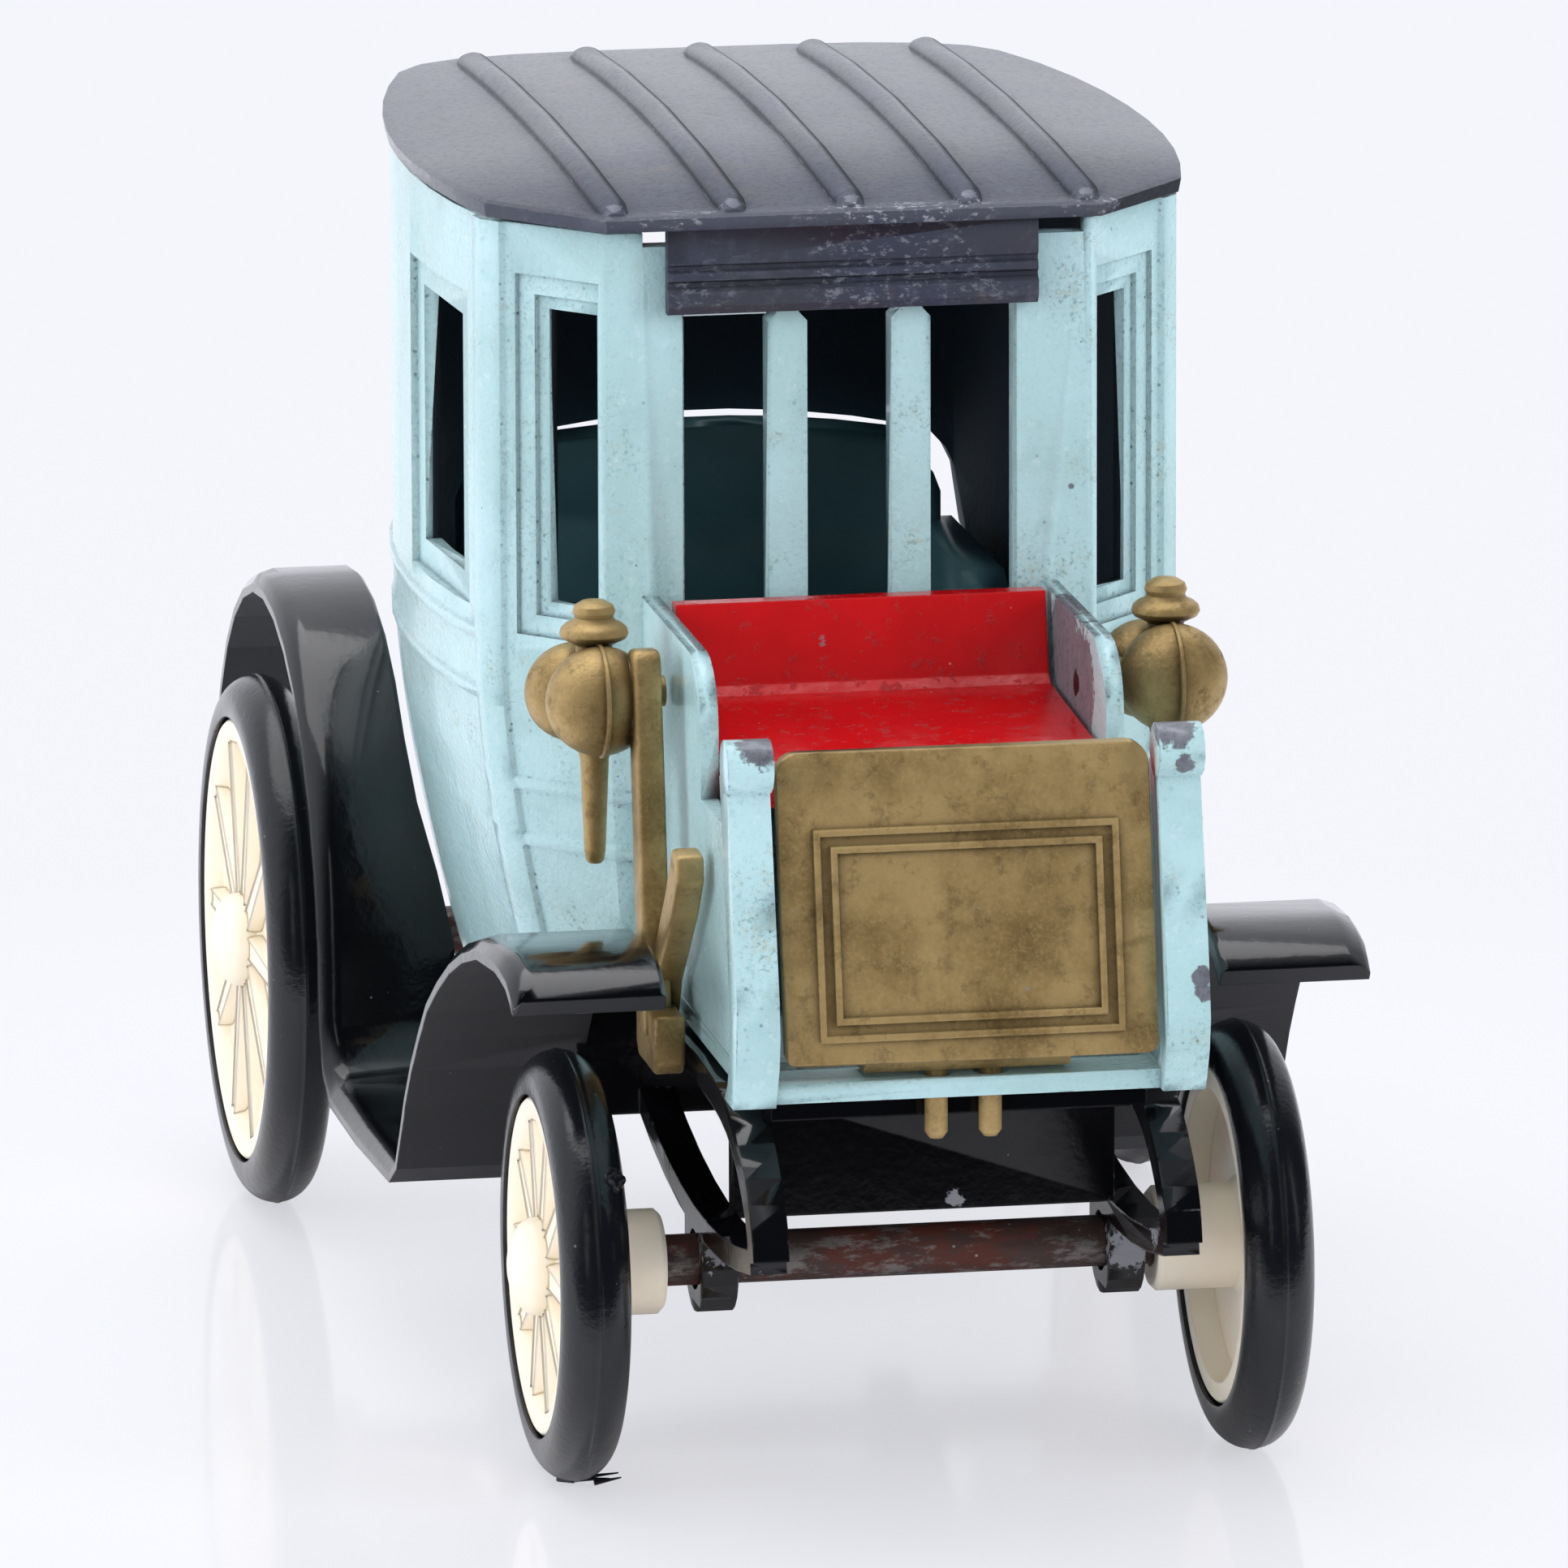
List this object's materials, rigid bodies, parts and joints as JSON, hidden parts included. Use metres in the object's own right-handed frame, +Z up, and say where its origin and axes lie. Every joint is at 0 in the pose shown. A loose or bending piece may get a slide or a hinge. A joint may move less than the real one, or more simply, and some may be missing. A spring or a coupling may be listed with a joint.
{
  "type": "model car",
  "caption": "Small diecast model of an early closed coachbuilt car: open driver's bench, tall windowed cab with ribbed roof, mudguards and rolling spoked wheels.",
  "frame": {"origin": "middle of the whole car's footprint, on the ground the tyres stand on", "axes": "+Z up, -Y the way the car faces, +X the car's own left-hand side, on the right when it is seen from in front"},
  "size_m": [0.0406, 0.0746, 0.0484],
  "materials": {
    "body": "gloss enamel, worn to bare zinc at edges",
    "roof": "satin dark grey paint, scuffed",
    "red_trim": "gloss",
    "green_trim": "satin",
    "brass_dash": "dull gold paint",
    "brass_lamp": "dull gold paint, worn",
    "brass_levers": "dull gold paint, worn",
    "chassis": "gloss black",
    "rivet": "peened, black",
    "axle_steel": "dull, with rust",
    "wheel": "satin ivory",
    "tyre": "satin black"
  },
  "bodies": {
    "coach": {"body_shell": "body", "roof": "roof", "driver_seat": "red_trim", "passenger_seat": "green_trim", "dash_panel": "brass_dash", "lamp_left": "brass_lamp", "control_levers": "brass_levers", "chassis": "chassis", "rivet_front": "rivet", "rivet_rear": "rivet"},
    "front_wheel_set": {"front_axle": "axle_steel", "wheel_front_left": "wheel", "wheel_front_right": "wheel", "tyre_front_left": "tyre", "tyre_front_right": "tyre"},
    "rear_wheel_set": {"rear_axle": "axle_steel", "wheel_rear_left": "wheel", "wheel_rear_right": "wheel", "tyre_rear_left": "tyre", "tyre_rear_right": "tyre"}
  },
  "joints": [
    {"name": "front_axle_spin", "type": "hinge", "parent": "coach", "child": "front_wheel_set", "pos_m": [0, -0.02436, 0.0084], "axis": [1, 0, 0], "continuous": true},
    {"name": "rear_axle_spin", "type": "hinge", "parent": "coach", "child": "rear_wheel_set", "pos_m": [0, 0.02354, 0.0109], "axis": [1, 0, 0], "continuous": true}
  ]
}
